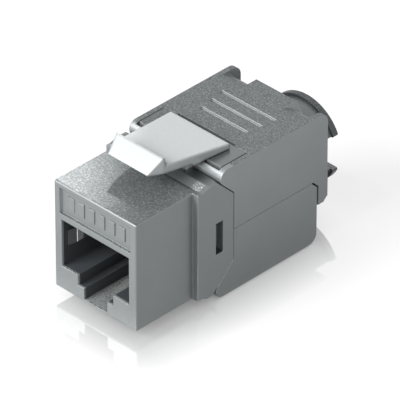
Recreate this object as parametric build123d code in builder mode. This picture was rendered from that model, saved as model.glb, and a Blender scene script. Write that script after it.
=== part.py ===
from build123d import *
import os
from math import atan2, cos, degrees, radians, sin, sqrt

# A shielded keystone jack in a die-cast case, in millimetres.
# +X is the jack's width, +Y runs from the plug port to the cable, +Z is up.
# The origin is the middle of the footprint, on the surface that the jack stands on.
# Two rear jaws open up and down from the case like a beak, and a rocking latch on top
# holds the jack in its panel.

# Driving sizes of the case
NOSE_WIDTH = 14.5
NOSE_HEIGHT = 16.1
NOSE_DEPTH = 10.0           # front face to the shoulder that meets the panel
NOSE_LIFT = 1.4             # the jaws hang this far below the nose
BODY_WIDTH = 16.3
MID_DEPTH = 6.4             # shoulder to the back edge of the case's side walls
JAW_LENGTH = 17.0           # from there to the back edge of the upper jaw's cheeks
COLLAR_LENGTH = 4.6         # how far the cable collar stands out behind the cheeks
SEAM = 0.08                 # gap between the case and the closed upper jaw
JAW_SEAM = 0.04             # gap above and in front of the closed lower jaw
CASE_FLOOR = 1.1            # thickness under the rear bay, above the nose's bottom
PAD_RISE = 0.35             # the case's top behind the shoulder rises this much
PAD_RAMP_START = 0.7        # the rise begins this far behind the shoulder
PAD_RAMP_END = 2.1
CATCH_DROP = 0.4            # the fixed panel catch reaches this far below the nose
CATCH_RAMP_START = 0.9
CATCH_RAMP_END = 1.6
BULKHEAD = 2.6              # the port ends this far behind the shoulder
SIDE_GAP = 0.16             # between the hinge blocks and the jaws' cheeks
CAST_EDGE = 0.25            # rounding of the castings' outer edges
FINE_EDGE = 0.12            # rounding of small features
FIT = 0.05                  # between small fixed pieces

# Plug port in the front face
PORT_WIDTH = 12.0
PORT_FLOOR = 3.5            # height above the nose's bottom
PORT_TOP = 10.65
STEP_WIDTH = 6.3            # first step of the clip's notch
STEP_FLOOR = 1.96
CLIP_WIDTH = 4.1            # second step
CLIP_FLOOR = 0.3
LABEL_WIDTH = 12.6
LABEL_HEIGHT = 3.9
LABEL_MARGIN = 0.7          # below the nose's top
LABEL_DEPTH = 0.4
LINER_WALL = 0.35           # plastic insert round the port
LINER_SETBACK = 0.4
LINER_BAR = 0.5             # joins its two sides at the top of the port's back
WINDOW_LENGTH = 1.27        # the slots in the side walls
WINDOW_SETBACK = 1.93       # in front of the side walls' back edge
WINDOW_LOW = 5.6
WINDOW_HIGH = 10.33

# Bays inside the case
NOSE_WALL = 0.9             # beside the carrier's bay
ROOF = 2.5
FRONT_WALL = 1.3
SIDE_WALL = 1.15            # beside the rear bay
BAY_CLEARANCE = 0.1         # round each piece in a bay

# Jaws
WALL = 0.8                  # cheeks
SKIN = 1.0                  # top, bottom and rear walls
KNUCKLE_RADIUS = 1.2
UPPER_HINGE_SETBACK = 1.15  # hinge axis in front of the side walls' back edge
LOWER_HINGE_SETBACK = 1.9
HINGE_PIN_RADIUS = 0.45
PIN_CLEARANCE = 0.05
HUB_RADIUS = 0.75
LIP_RADIUS = 0.8            # inner radius of the upper jaw's front lip
SHELF_RADIUS = 4.4          # the fixed shelf under the latch ends on this arc
SHELF_START = 0.2           # and starts this far in front of the hinge
SEAM_DROP = 0.175           # the jaws meet this far below mid height
LIP_GAP = 0.45              # open gap in front of the upper jaw's lip
HOOK_LENGTH = 3.85          # how far the upper jaw's rear hooks reach below the seam
HOOK_THICKNESS = 1.66
HOOK_WIDTH = 1.65
HOOK_CHAMFER = 0.7
HOOK_CORNER = 0.95          # 45 degree step between the seam and the hooks
HOOK_GAP = 0.21
CHEEK_CORNER = 1.5
LOWER_CORNER = 1.4
CROWN_RADIUS = 3.8          # rounding of the upper jaw's back
CROWN_INSET = 0.4           # the crown lies this far inside the cheeks' back edge
TONGUE_WIDTH = 9.0          # at its foot
TONGUE_HEIGHT = 2.2
TONGUE_DRAFT = 25           # degrees
TONGUE_INSET = 0.1
NOTCH_WIDTH = 10.1          # slot behind the latch
NOTCH_DEPTH = 0.3
GROOVE_PITCH = 2.2
GROOVE_DEPTH = 0.35
GROOVE_LENGTHS = (8.2, 8.9, 9.6)
GROOVE_SETBACK = 3.4        # first groove behind the shelf

# Cable collar
COLLAR_RADIUS = 5.7
COLLAR_BORE = 4.2
FLANGE_RADIUS = 6.2
FLANGE_THICKNESS = 0.9
COLLAR_GAP = 4.9            # open height between the two halves

# Latch
LATCH_PIVOT_DROP = 2.25     # below the top of the jaws
LATCH_PIN_RADIUS = 0.4
LATCH_PIN_SEAT = 1.4        # how far the pin reaches into the case on each side
LATCH_HUB_RADIUS = 0.8
LATCH_GAP = 0.1
LEG_WIDTH = 6.6
LEG_THICKNESS = 1.05
PLATE_WIDTH = 10.4          # at the back
LIP_WIDTH = 8.2             # at the ridge
TOE_WIDTH = 6.9             # at the front edge
PLATE_OVERHANG = 3.4        # the plate ends this far behind the jaw's hinge
PLATE_THICKNESS = 0.83      # at the back
PLATE_EDGE = 0.3            # rounding of its long edges
PLATE_RISE = 1.12           # the plate's top climbs this much towards the ridge
RIDGE_HEIGHT = 3.05         # above the plate's underside at the back
RIDGE_SETBACK = 2.05        # the ridge stands this far in front of the shoulder
TOE_SETBACK = 4.25
TOE_HEIGHT = 1.05
SPRING_POCKET = 0.6         # free depth in front of the leg
LEAF_THICKNESS = 0.15
LEAF_WIDTH = 4.0

# Contacts, board and cable terminals
CONTACT_COUNT = 8
CONTACT_PITCH = 1.02
CONTACT_THICKNESS = 0.3
CONTACT_WIDTH = 0.4
CONTACT_SLOT = 0.56
CONTACT_DROP = 0.95         # the contacts run this far below the bay's roof
CONTACT_TIP = 7.2           # height of their free ends above the nose's bottom
COMB_LOW = 6.3
BOARD_THICKNESS = 1.2
BOARD_CLEARANCE = 0.1
TERMINAL_THICKNESS = 0.4
TERMINAL_WIDTH = 1.6
TERMINAL_SLOT = 0.36
TERMINAL_TAIL = 0.6
TOWER_WIDTH = 2.5
TOWER_HEIGHT = 3.2
TOWER_MARGIN = 0.5          # from the outer towers to the block's ends
BLOCK_DEPTH = 3.4
TOWER_DEPTH = 4.0
MANAGER_LENGTH = 8.4
MANAGER_CLEARANCE = 0.15
MANAGER_BORE = 3.6
MANAGER_RIM = 0.8
MANAGER_EDGE = 1.0
CONDUCTOR_WAY = 1.1
SPRING_THICKNESS = 0.15
SPRING_HEIGHT = 2.2
SPRING_LENGTH = 6.8
SPRING_BOW = 0.4
SPRING_DROP = 3.2           # its middle below the port's top
SPRING_SETBACK = 0.6        # its start behind the liner's front

# Stations along Y
length = NOSE_DEPTH + MID_DEPTH + JAW_LENGTH + COLLAR_LENGTH
front = -length / 2
shoulder = front + NOSE_DEPTH
case_back = shoulder + MID_DEPTH
jaw_back = case_back + JAW_LENGTH
collar_back = jaw_back + COLLAR_LENGTH
body_height = NOSE_LIFT + NOSE_HEIGHT + PAD_RISE + KNUCKLE_RADIUS
seam_height = body_height / 2 - SEAM_DROP
upper_hinge = Vector(0, case_back - UPPER_HINGE_SETBACK, body_height - KNUCKLE_RADIUS)
lower_hinge = Vector(0, case_back - LOWER_HINGE_SETBACK, KNUCKLE_RADIUS)
hook_front = jaw_back - HOOK_THICKNESS
lower_back = hook_front - HOOK_GAP
crown_back = jaw_back - CROWN_INSET
upper_cheek_front = case_back + SEAM
lower_cheek_front = case_back + JAW_SEAM
upper_seam = seam_height + JAW_SEAM / 2
lower_seam = seam_height - JAW_SEAM / 2
bay_front = shoulder + BULKHEAD
shelf_back = upper_hinge.Y + SHELF_RADIUS
window_middle = case_back - WINDOW_SETBACK - WINDOW_LENGTH / 2

# Heights
nose_low = NOSE_LIFT
nose_top = nose_low + NOSE_HEIGHT
pad_top = nose_top + PAD_RISE
catch_low = nose_low - CATCH_DROP
bay_low = nose_low + CASE_FLOOR
bay_top = nose_top - ROOF
port_top = nose_low + PORT_TOP
collar_axis = body_height / 2
hook_low = seam_height - HOOK_LENGTH

# Half widths
case_side = BODY_WIDTH / 2
cheek_inside = case_side - WALL
bay_side = case_side - SIDE_WALL
block_side = cheek_inside - SIDE_GAP

# The case's back corners run at 45 degrees past the jaws' knuckles: y + z is the same
# along the upper one, and y - z along the lower one
upper_slope = upper_hinge.Y + upper_hinge.Z - (KNUCKLE_RADIUS + SEAM) * sqrt(2)
lower_slope = lower_hinge.Y - lower_hinge.Z - (KNUCKLE_RADIUS + JAW_SEAM) * sqrt(2)

leg_back = upper_hinge.Y - KNUCKLE_RADIUS - LATCH_GAP
leg_front = leg_back - LEG_THICKNESS
latch_pivot = Vector(0, (leg_front + leg_back) / 2, body_height - LATCH_PIVOT_DROP)
latch_pin_end = LEG_WIDTH / 2 + LATCH_PIN_SEAT

board_front = case_back - BOARD_THICKNESS - BOARD_CLEARANCE
board_back = board_front + BOARD_THICKNESS
block_back = board_back + BLOCK_DEPTH
tower_back = block_back + TOWER_DEPTH
manager_front = block_back + MANAGER_CLEARANCE
manager_back = manager_front + MANAGER_LENGTH

os.makedirs("parts", exist_ok=True)


def save(part, name):
    """Label a finished piece and write it to its own file."""
    part.label = name
    export_step(part, f"parts/{name}.step")


def port_outline(wall=0):
    """The stepped mouth of the port, or the outline of a lining that stands outside it."""
    floors = ((PORT_WIDTH, PORT_FLOOR), (STEP_WIDTH, STEP_FLOOR), (CLIP_WIDTH, CLIP_FLOOR))
    with BuildSketch() as outline:
        for width, floor in floors:
            low = nose_low + max(floor - wall, CLIP_FLOOR)
            with Locations((0, (port_top + low) / 2)):
                Rectangle(width + 2 * wall, port_top - low)
    return outline.sketch


def knuckle_cut(centre, radius, half_width):
    """Take a round bar along X out of the piece that is being built."""
    with BuildSketch(Plane.YZ) as section:
        with Locations((centre.Y, centre.Z)):
            Circle(radius)
    extrude(section.sketch, amount=half_width, both=True, mode=Mode.SUBTRACT)


block_side_inner = bay_side - BAY_CLEARANCE - 0.2
terminal_pitch = (2 * block_side_inner - TOWER_WIDTH - 2 * TOWER_MARGIN) / 3
terminal_row = bay_top - 2 * BAY_CLEARANCE - collar_axis - TOWER_HEIGHT / 2

# Front housing: one casting with the nose, the shoulder, the hinge blocks and the bays
with BuildPart() as front_housing:
    with BuildSketch(Plane.YZ) as nose_section:
        with BuildLine():
            Polyline((front, nose_low), (shoulder + 1, nose_low), (shoulder + 1, nose_top), (front, nose_top), close=True)
        make_face()
    extrude(amount=NOSE_WIDTH / 2, both=True)
    fillet(front_housing.edges().filter_by(Axis.Y), radius=CAST_EDGE)
    fillet(front_housing.faces().sort_by(Axis.Y)[0].edges(), radius=CAST_EDGE)
    with BuildSketch(Plane.YZ) as body_section:
        with BuildLine():
            Polyline(
                (shoulder, nose_low),
                (shoulder + CATCH_RAMP_START, nose_low),
                (shoulder + CATCH_RAMP_END, catch_low),
                (lower_slope + catch_low, catch_low),
                (case_back, case_back - lower_slope),
                (case_back, upper_slope - case_back),
                (upper_slope - pad_top, pad_top),
                (shoulder + PAD_RAMP_END, pad_top),
                (shoulder + PAD_RAMP_START, nose_top),
                (shoulder, nose_top),
                close=True,
            )
        make_face()
    extrude(amount=case_side, both=True)
    side_faces = front_housing.faces().filter_by(Axis.X).group_by(Axis.X)
    fillet(side_faces[0].edges() + side_faces[-1].edges(), radius=FINE_EDGE)

    # Hinge block and fixed shelf under the latch
    with BuildSketch(Plane.YZ) as shelf_section:
        with BuildLine():
            Polyline(
                (latch_pivot.Y, bay_top),
                (shelf_back, bay_top),
                (shelf_back, body_height),
                (upper_hinge.Y - SHELF_START, body_height),
                (upper_hinge.Y - SHELF_START, pad_top),
                (latch_pivot.Y, pad_top),
                close=True,
            )
        make_face()
        with Locations((upper_hinge.Y, upper_hinge.Z)):
            Circle(SHELF_RADIUS, mode=Mode.INTERSECT)
    extrude(amount=block_side, both=True)

    # Lower hinge barrel, on a web under the rear bay
    with BuildSketch(Plane.YZ) as barrel_section:
        with BuildLine():
            Polyline(
                (shoulder + CATCH_RAMP_END, catch_low),
                (lower_hinge.Y, catch_low),
                (lower_hinge.Y + KNUCKLE_RADIUS, lower_hinge.Z),
                (lower_hinge.Y + KNUCKLE_RADIUS, bay_low),
                (shoulder + CATCH_RAMP_END, bay_low),
                close=True,
            )
        make_face()
        with Locations((lower_hinge.Y, lower_hinge.Z)):
            Circle(KNUCKLE_RADIUS)
    extrude(amount=block_side, both=True)

    # Port, clip notch and label recess
    with BuildSketch(Plane.XZ.offset(-front)) as port_mouth:
        add(port_outline())
    extrude(amount=front - bay_front, mode=Mode.SUBTRACT)
    with BuildSketch(Plane.XZ.offset(-(front + LINER_SETBACK))) as liner_seat:
        add(port_outline(LINER_WALL))
    extrude(amount=front + LINER_SETBACK - bay_front, mode=Mode.SUBTRACT)
    with BuildSketch(Plane.XZ.offset(-front)) as label_recess:
        with Locations((0, nose_top - LABEL_MARGIN - LABEL_HEIGHT / 2)):
            Rectangle(LABEL_WIDTH, LABEL_HEIGHT)
    extrude(amount=-LABEL_DEPTH, mode=Mode.SUBTRACT)

    # Bay for the contact tray over the port, and the wider bay behind it
    with BuildSketch(Plane.XZ.offset(-(front + FRONT_WALL))) as tray_bay:
        with Locations((0, (port_top + bay_top) / 2)):
            Rectangle(NOSE_WIDTH - 2 * NOSE_WALL, bay_top - port_top)
    extrude(amount=front + FRONT_WALL - bay_front, mode=Mode.SUBTRACT)
    with BuildSketch(Plane.XZ.offset(-bay_front)) as rear_bay:
        with Locations((0, (bay_low + bay_top) / 2)):
            Rectangle(2 * bay_side, bay_top - bay_low)
    extrude(amount=bay_front - shelf_back, mode=Mode.SUBTRACT)

    # Way for the upper jaw's lip round the hinge, and both pin bores
    with BuildSketch(Plane.YZ) as lip_way:
        with Locations((upper_hinge.Y, upper_hinge.Z)):
            Circle(KNUCKLE_RADIUS + SEAM)
            Circle(HUB_RADIUS, mode=Mode.SUBTRACT)
        with BuildLine():
            Polyline(
                (upper_hinge.Y, upper_hinge.Z),
                (upper_hinge.Y - 1.2, upper_hinge.Z + 3),
                (upper_hinge.Y - 5, upper_hinge.Z),
                (upper_hinge.Y - 3, upper_hinge.Z - 5),
                (upper_hinge.Y + 3, upper_hinge.Z - 5),
                (upper_hinge.Y + 4, upper_hinge.Z - 2.5),
                close=True,
            )
        make_face(mode=Mode.INTERSECT)
    extrude(amount=block_side, both=True, mode=Mode.SUBTRACT)
    with BuildSketch(Plane.YZ) as lip_gap:
        with Locations((upper_hinge.Y - KNUCKLE_RADIUS - LIP_GAP / 2, pad_top)):
            Rectangle(LIP_GAP, KNUCKLE_RADIUS)
    extrude(amount=block_side, both=True, mode=Mode.SUBTRACT)
    knuckle_cut(upper_hinge, HINGE_PIN_RADIUS + PIN_CLEARANCE, block_side)
    knuckle_cut(lower_hinge, HINGE_PIN_RADIUS + PIN_CLEARANCE, block_side)

    # Slot for the latch's leg, its pin bore and the pocket of its leaf spring
    with BuildSketch(Plane.YZ) as leg_slot:
        with BuildLine():
            Polyline(
                (leg_front - SPRING_POCKET, pad_top + 1),
                (leg_front - 0.4, latch_pivot.Z + 0.4),
                (latch_pivot.Y - LATCH_HUB_RADIUS - LATCH_GAP, latch_pivot.Z),
                (latch_pivot.Y + LATCH_HUB_RADIUS + LATCH_GAP, latch_pivot.Z),
                (leg_back + LATCH_GAP, latch_pivot.Z + LATCH_HUB_RADIUS),
                (leg_back + LATCH_GAP, pad_top + 1),
                close=True,
            )
        make_face()
        with Locations((latch_pivot.Y, latch_pivot.Z)):
            Circle(LATCH_HUB_RADIUS + LATCH_GAP)
    extrude(amount=LEG_WIDTH / 2 + LATCH_GAP, both=True, mode=Mode.SUBTRACT)
    knuckle_cut(latch_pivot, LATCH_PIN_RADIUS, latch_pin_end)
    with BuildSketch(Plane.XY.offset(latch_pivot.Z - 0.2)) as leaf_pocket:
        with Locations((0, leg_front - 0.3)):
            Rectangle(LEAF_WIDTH + 0.3, 1.3)
    extrude(amount=3, mode=Mode.SUBTRACT)

    # Side windows over the carrier's snap teeth
    for side in (-1, 1):
        with BuildSketch(Plane.YZ.offset(side * case_side)) as window:
            with Locations((window_middle, nose_low + (WINDOW_LOW + WINDOW_HIGH) / 2)):
                Rectangle(WINDOW_LENGTH, WINDOW_HIGH - WINDOW_LOW)
        extrude(amount=-side * SIDE_WALL, mode=Mode.SUBTRACT)
save(front_housing.part, "front_housing")


def cheek_outline_upper():
    """Side of the upper jaw, from the knuckle over the top to the rear hook."""
    slope = upper_slope + SEAM * sqrt(2)
    tangent = KNUCKLE_RADIUS / sqrt(2)
    with BuildLine() as outline:
        CenterArc((upper_hinge.Y, upper_hinge.Z), KNUCKLE_RADIUS, 90, 135)
        Polyline(
            (upper_hinge.Y - tangent, upper_hinge.Z - tangent),
            (upper_cheek_front, slope - upper_cheek_front),
            (upper_cheek_front, upper_seam),
            (hook_front - HOOK_CORNER, upper_seam),
            (hook_front, upper_seam - HOOK_CORNER),
            (hook_front, hook_low),
            (jaw_back - HOOK_CHAMFER, hook_low),
        )
        Line((jaw_back - HOOK_CHAMFER, hook_low), (jaw_back, hook_low + HOOK_CHAMFER))
        Line((jaw_back, hook_low + HOOK_CHAMFER), (jaw_back, body_height - CHEEK_CORNER))
        CenterArc((jaw_back - CHEEK_CORNER, body_height - CHEEK_CORNER), CHEEK_CORNER, 0, 90)
        Line((jaw_back - CHEEK_CORNER, body_height), (upper_hinge.Y, body_height))
    return outline


def cheek_outline_lower():
    """Side of the lower jaw, from the knuckle under the bottom to the rear wall."""
    slope = lower_slope + JAW_SEAM * sqrt(2)
    tangent = KNUCKLE_RADIUS / sqrt(2)
    with BuildLine() as outline:
        CenterArc((lower_hinge.Y, lower_hinge.Z), KNUCKLE_RADIUS, 135, 135)
        Line((lower_hinge.Y, 0), (lower_back - LOWER_CORNER, 0))
        CenterArc((lower_back - LOWER_CORNER, LOWER_CORNER), LOWER_CORNER, 270, 90)
        Polyline(
            (lower_back, LOWER_CORNER),
            (lower_back, lower_seam - HOOK_CORNER),
            (lower_back - HOOK_CORNER, lower_seam),
            (lower_cheek_front, lower_seam),
            (lower_cheek_front, lower_cheek_front - slope),
            (lower_hinge.Y - tangent, lower_hinge.Z + tangent),
        )
    return outline


def collar_half(wall_face, low, high):
    """Neck and end flange of the cable collar, between two heights."""
    for start, radius in ((wall_face, COLLAR_RADIUS), (collar_back - FLANGE_THICKNESS, FLANGE_RADIUS)):
        with BuildSketch(Plane.XZ.offset(-start)) as ring:
            with Locations((0, collar_axis)):
                Circle(radius)
            with Locations((0, (low + high) / 2)):
                Rectangle(2 * FLANGE_RADIUS + 2, high - low, mode=Mode.INTERSECT)
        extrude(ring.sketch, amount=start - collar_back)


def flange_tips(jaw):
    """The edges where the end flange's rim meets its flat ends."""
    return jaw.edges().filter_by(Axis.Y).filter_by_position(
        Axis.Y, collar_back - FLANGE_THICKNESS, collar_back
    )


def cable_bore(wall_face):
    """Open the cable's way through a rear wall and its half of the collar."""
    with BuildSketch(Plane.XZ.offset(-wall_face)) as bore:
        with Locations((0, collar_axis)):
            Circle(COLLAR_BORE)
    extrude(bore.sketch, amount=wall_face - collar_back, mode=Mode.SUBTRACT)


# Upper jaw
with BuildPart() as upper_jaw:
    with BuildSketch(Plane.YZ.offset(cheek_inside)) as upper_cheek:
        add(cheek_outline_upper().line)
        make_face()
    extrude(amount=WALL)
    fillet(upper_jaw.faces().sort_by(Axis.X)[-1].edges(), radius=FINE_EDGE)
    mirror(about=Plane.YZ)
    with BuildSketch(Plane.YZ) as crown:
        with BuildLine():
            Line((upper_hinge.Y, upper_seam), (upper_hinge.Y, body_height))
            Line((upper_hinge.Y, body_height), (crown_back - CROWN_RADIUS, body_height))
            CenterArc((crown_back - CROWN_RADIUS, body_height - CROWN_RADIUS), CROWN_RADIUS, 0, 90)
            Line((crown_back, body_height - CROWN_RADIUS), (crown_back, upper_seam))
            Line((crown_back, upper_seam), (upper_hinge.Y, upper_seam))
        make_face()
    extrude(amount=cheek_inside, both=True)

    # Thumb tongue over the crown
    tongue_back = jaw_back - TONGUE_INSET
    tongue_front = crown_back - CROWN_RADIUS - TONGUE_HEIGHT / 2
    with BuildSketch(Plane.XY.offset(body_height - TONGUE_HEIGHT)) as tongue:
        with Locations((0, (tongue_front + tongue_back) / 2)):
            RectangleRounded(TONGUE_WIDTH, tongue_back - tongue_front, TONGUE_HEIGHT / 2)
    extrude(amount=TONGUE_HEIGHT, taper=TONGUE_DRAFT)

    # Hollow, and the clearance round the fixed shelf
    with BuildSketch(Plane.YZ) as upper_hollow:
        with BuildLine():
            Polyline(
                (upper_hinge.Y, seam_height),
                (upper_hinge.Y, body_height - SKIN),
                (crown_back - CROWN_RADIUS, body_height - SKIN),
                (crown_back - SKIN, body_height - CROWN_RADIUS),
                (crown_back - SKIN, seam_height),
                close=True,
            )
        make_face()
    extrude(amount=cheek_inside, both=True, mode=Mode.SUBTRACT)
    knuckle_cut(upper_hinge, SHELF_RADIUS + SEAM, cheek_inside)
    with BuildSketch(Plane.YZ) as lip:
        with Locations((upper_hinge.Y, upper_hinge.Z)):
            Circle(KNUCKLE_RADIUS)
            Circle(LIP_RADIUS, mode=Mode.SUBTRACT)
        with BuildLine():
            Polyline(
                (upper_hinge.Y, upper_hinge.Z),
                (upper_hinge.Y - 2.1, upper_hinge.Z + 3),
                (upper_hinge.Y - 5, upper_hinge.Z),
                (upper_hinge.Y - 3, upper_hinge.Z - 3),
                close=True,
            )
        make_face(mode=Mode.INTERSECT)
    extrude(amount=cheek_inside, both=True)

    # Slot behind the latch, and the grooves
    with BuildSketch(Plane.XY.offset(body_height)) as latch_notch:
        with Locations((0, upper_hinge.Y + SHELF_RADIUS)):
            Rectangle(NOTCH_WIDTH, 2 * NOTCH_DEPTH)
    extrude(amount=-SKIN, mode=Mode.SUBTRACT)
    for row, groove_length in enumerate(GROOVE_LENGTHS):
        groove_back = upper_hinge.Y + SHELF_RADIUS + GROOVE_SETBACK + row * GROOVE_PITCH
        with BuildSketch(Plane.YZ) as groove:
            with BuildLine():
                Polyline(
                    (groove_back, body_height),
                    (groove_back - 0.08, body_height - GROOVE_DEPTH),
                    (groove_back - 0.75, body_height),
                    close=True,
                )
            make_face()
        extrude(amount=groove_length / 2, both=True, mode=Mode.SUBTRACT)

    # Rear hooks, collar and cable bore
    with BuildSketch(Plane.XY.offset(hook_low + HOOK_CHAMFER)) as hooks:
        for side in (-1, 1):
            with Locations((side * (case_side - HOOK_WIDTH / 2), (hook_front + jaw_back) / 2)):
                Rectangle(HOOK_WIDTH, HOOK_THICKNESS)
    extrude(amount=seam_height - hook_low)
    collar_half(crown_back - SKIN, collar_axis + COLLAR_GAP / 2, collar_axis + FLANGE_RADIUS)
    fillet(flange_tips(upper_jaw), radius=CAST_EDGE)
    chamfer(upper_jaw.faces().sort_by(Axis.Y)[-1].edges(), length=FINE_EDGE / 2)
    cable_bore(crown_back - 2 * SKIN)
    knuckle_cut(upper_hinge, HINGE_PIN_RADIUS, case_side - 0.25)
save(upper_jaw.part, "upper_jaw")

# Lower jaw
with BuildPart() as lower_jaw:
    with BuildSketch(Plane.YZ.offset(cheek_inside)) as lower_cheek:
        add(cheek_outline_lower().line)
        make_face()
    extrude(amount=WALL)
    fillet(lower_jaw.faces().sort_by(Axis.X)[-1].edges(), radius=FINE_EDGE)
    mirror(about=Plane.YZ)
    with BuildSketch(Plane.YZ) as keel:
        plate_front = lower_hinge.Y + KNUCKLE_RADIUS + 0.3
        with BuildLine():
            Line((plate_front, 0), (lower_back - LOWER_CORNER, 0))
            CenterArc((lower_back - LOWER_CORNER, LOWER_CORNER), LOWER_CORNER, 270, 90)
            Polyline(
                (lower_back, LOWER_CORNER),
                (lower_back, lower_seam - HOOK_CORNER),
                (lower_back - SKIN, lower_seam),
                (lower_back - SKIN, SKIN),
                (plate_front, SKIN),
                (plate_front, 0),
            )
        make_face()
    extrude(amount=cheek_inside, both=True)
    collar_half(lower_back - SKIN / 2, collar_axis - FLANGE_RADIUS, collar_axis - COLLAR_GAP / 2)
    fillet(flange_tips(lower_jaw), radius=CAST_EDGE)
    chamfer(lower_jaw.faces().sort_by(Axis.Y)[-1].edges(), length=FINE_EDGE / 2)
    cable_bore(lower_back - 2 * SKIN)
    knuckle_cut(lower_hinge, HINGE_PIN_RADIUS, case_side - 0.25)
save(lower_jaw.part, "lower_jaw")

# Hinge pins, pressed into the jaws' cheeks and free in the case
for name, centre in (("upper_hinge_pin", upper_hinge), ("lower_hinge_pin", lower_hinge)):
    with BuildPart() as hinge_pin:
        with BuildSketch(Plane.YZ) as pin_section:
            with Locations((centre.Y, centre.Z)):
                Circle(HINGE_PIN_RADIUS)
        extrude(amount=case_side - 0.25, both=True)
    save(hinge_pin.part, name)

# Latch lever: a tapered plate on a leg, with a ridge that catches the panel
ridge_y = shoulder - RIDGE_SETBACK
toe_y = shoulder - TOE_SETBACK
plate_back = upper_hinge.Y + PLATE_OVERHANG
plate_low = body_height + LATCH_GAP
plate_top = plate_low + PLATE_THICKNESS
plate_peak = plate_top + PLATE_RISE
ridge_top = plate_low + RIDGE_HEIGHT
toe_low = plate_low + TOE_HEIGHT
root_low = plate_low + 0.3
with BuildPart() as latch_lever:
    with BuildSketch(Plane.YZ) as lever_section:
        with BuildLine():
            Polyline(
                (leg_front, latch_pivot.Z),
                (leg_front, plate_low - 0.15),
                (leg_front - 0.45, root_low),
            )
            ThreePointArc(
                (leg_front - 0.45, root_low),
                (ridge_y + 0.95, (root_low + toe_low) / 2 - 0.045),
                (toe_y + 0.2, toe_low),
            )
            Polyline(
                (toe_y + 0.2, toe_low),
                (toe_y, toe_low + 0.2),
                (ridge_y, ridge_top),
                (ridge_y + 0.2, ridge_top),
                (ridge_y + 0.5, plate_peak - 0.28),
                (ridge_y + 0.85, plate_peak),
                (plate_back - 0.2, plate_top),
                (plate_back, plate_top - 0.2),
                (plate_back, plate_low),
                (leg_back, plate_low),
                (leg_back, latch_pivot.Z),
                (leg_front, latch_pivot.Z),
            )
        make_face()
    extrude(amount=PLATE_WIDTH / 2, both=True)
    with BuildSketch(Plane.XY.offset(latch_pivot.Z - 1)) as lever_plan:
        with BuildLine():
            Polyline(
                (-PLATE_WIDTH / 2, plate_back),
                (PLATE_WIDTH / 2, plate_back),
                (LIP_WIDTH / 2, ridge_y),
                (TOE_WIDTH / 2, toe_y),
                (-TOE_WIDTH / 2, toe_y),
                (-LIP_WIDTH / 2, ridge_y),
                close=True,
            )
        make_face()
    extrude(amount=ridge_top - latch_pivot.Z + 2, mode=Mode.INTERSECT)
    ridge_edges = latch_lever.edges().filter_by(Axis.X)
    ridge_edges = ridge_edges.filter_by_position(Axis.Y, toe_y - 1, ridge_y + 0.3)
    fillet(ridge_edges, radius=FINE_EDGE / 2)
    plate_face = latch_lever.faces().filter_by(GeomType.PLANE).sort_by(SortBy.AREA)[-1]
    fillet(plate_face.edges().filter_by(Axis.X, reverse=True), radius=PLATE_EDGE)
    with BuildSketch(Plane.YZ) as leg_trim:
        with BuildLine():
            Polyline(
                (leg_front - 0.1, latch_pivot.Z - 0.5),
                (leg_back + 0.1, latch_pivot.Z - 0.5),
                (leg_back + 0.1, plate_low - 0.1),
                (leg_front - 0.1, plate_low - 0.1),
                close=True,
            )
        make_face()
    extrude(amount=case_side, both=True, mode=Mode.SUBTRACT)
    with BuildSketch(Plane.YZ) as leg:
        with BuildLine():
            Polyline(
                (leg_front, latch_pivot.Z),
                (leg_back, latch_pivot.Z),
                (leg_back, plate_low + 0.2),
                (leg_front, plate_low + 0.2),
                close=True,
            )
        make_face()
        with Locations((latch_pivot.Y, latch_pivot.Z)):
            Circle(LATCH_HUB_RADIUS)
    extrude(amount=LEG_WIDTH / 2, both=True)
    knuckle_cut(latch_pivot, LATCH_PIN_RADIUS + PIN_CLEARANCE, LEG_WIDTH / 2)
save(latch_lever.part, "latch_lever")

with BuildPart() as latch_pin:
    with BuildSketch(Plane.YZ) as latch_pin_section:
        with Locations((latch_pivot.Y, latch_pivot.Z)):
            Circle(LATCH_PIN_RADIUS)
    extrude(amount=latch_pin_end, both=True)
save(latch_pin.part, "latch_pin")

# Leaf spring: folded strip between the leg and the front of its pocket
with BuildPart() as latch_spring:
    with BuildSketch(Plane.YZ) as leaf_section:
        with BuildLine() as leaf_line:
            FilletPolyline(
                (leg_front - 0.15, latch_pivot.Z + 1.7),
                (leg_front - 0.2, latch_pivot.Z + 0.6),
                (leg_front - 0.55, latch_pivot.Z + 0.6),
                (leg_front - 0.8, latch_pivot.Z + 1.6),
                radius=0.14,
            )
        trace(line_width=LEAF_THICKNESS)
    extrude(amount=LEAF_WIDTH / 2, both=True)
save(latch_spring.part, "latch_spring")

# Port liner: plastic walls and stepped floor inside the port, behind its metal mouth
with BuildPart() as port_liner:
    with BuildSketch(Plane.XZ.offset(-(front + LINER_SETBACK + FIT))) as liner_section:
        add(port_outline(LINER_WALL - FIT))
        add(port_outline(), mode=Mode.SUBTRACT)
    extrude(amount=front + LINER_SETBACK + 2 * FIT - bay_front)
    with BuildSketch(Plane.XZ.offset(FIT + LINER_BAR - bay_front)) as liner_bar:
        with Locations((0, port_top - LINER_BAR / 2)):
            Rectangle(PORT_WIDTH + LINER_WALL, LINER_BAR)
    extrude(amount=-LINER_BAR)
save(port_liner.part, "port_liner")

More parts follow.
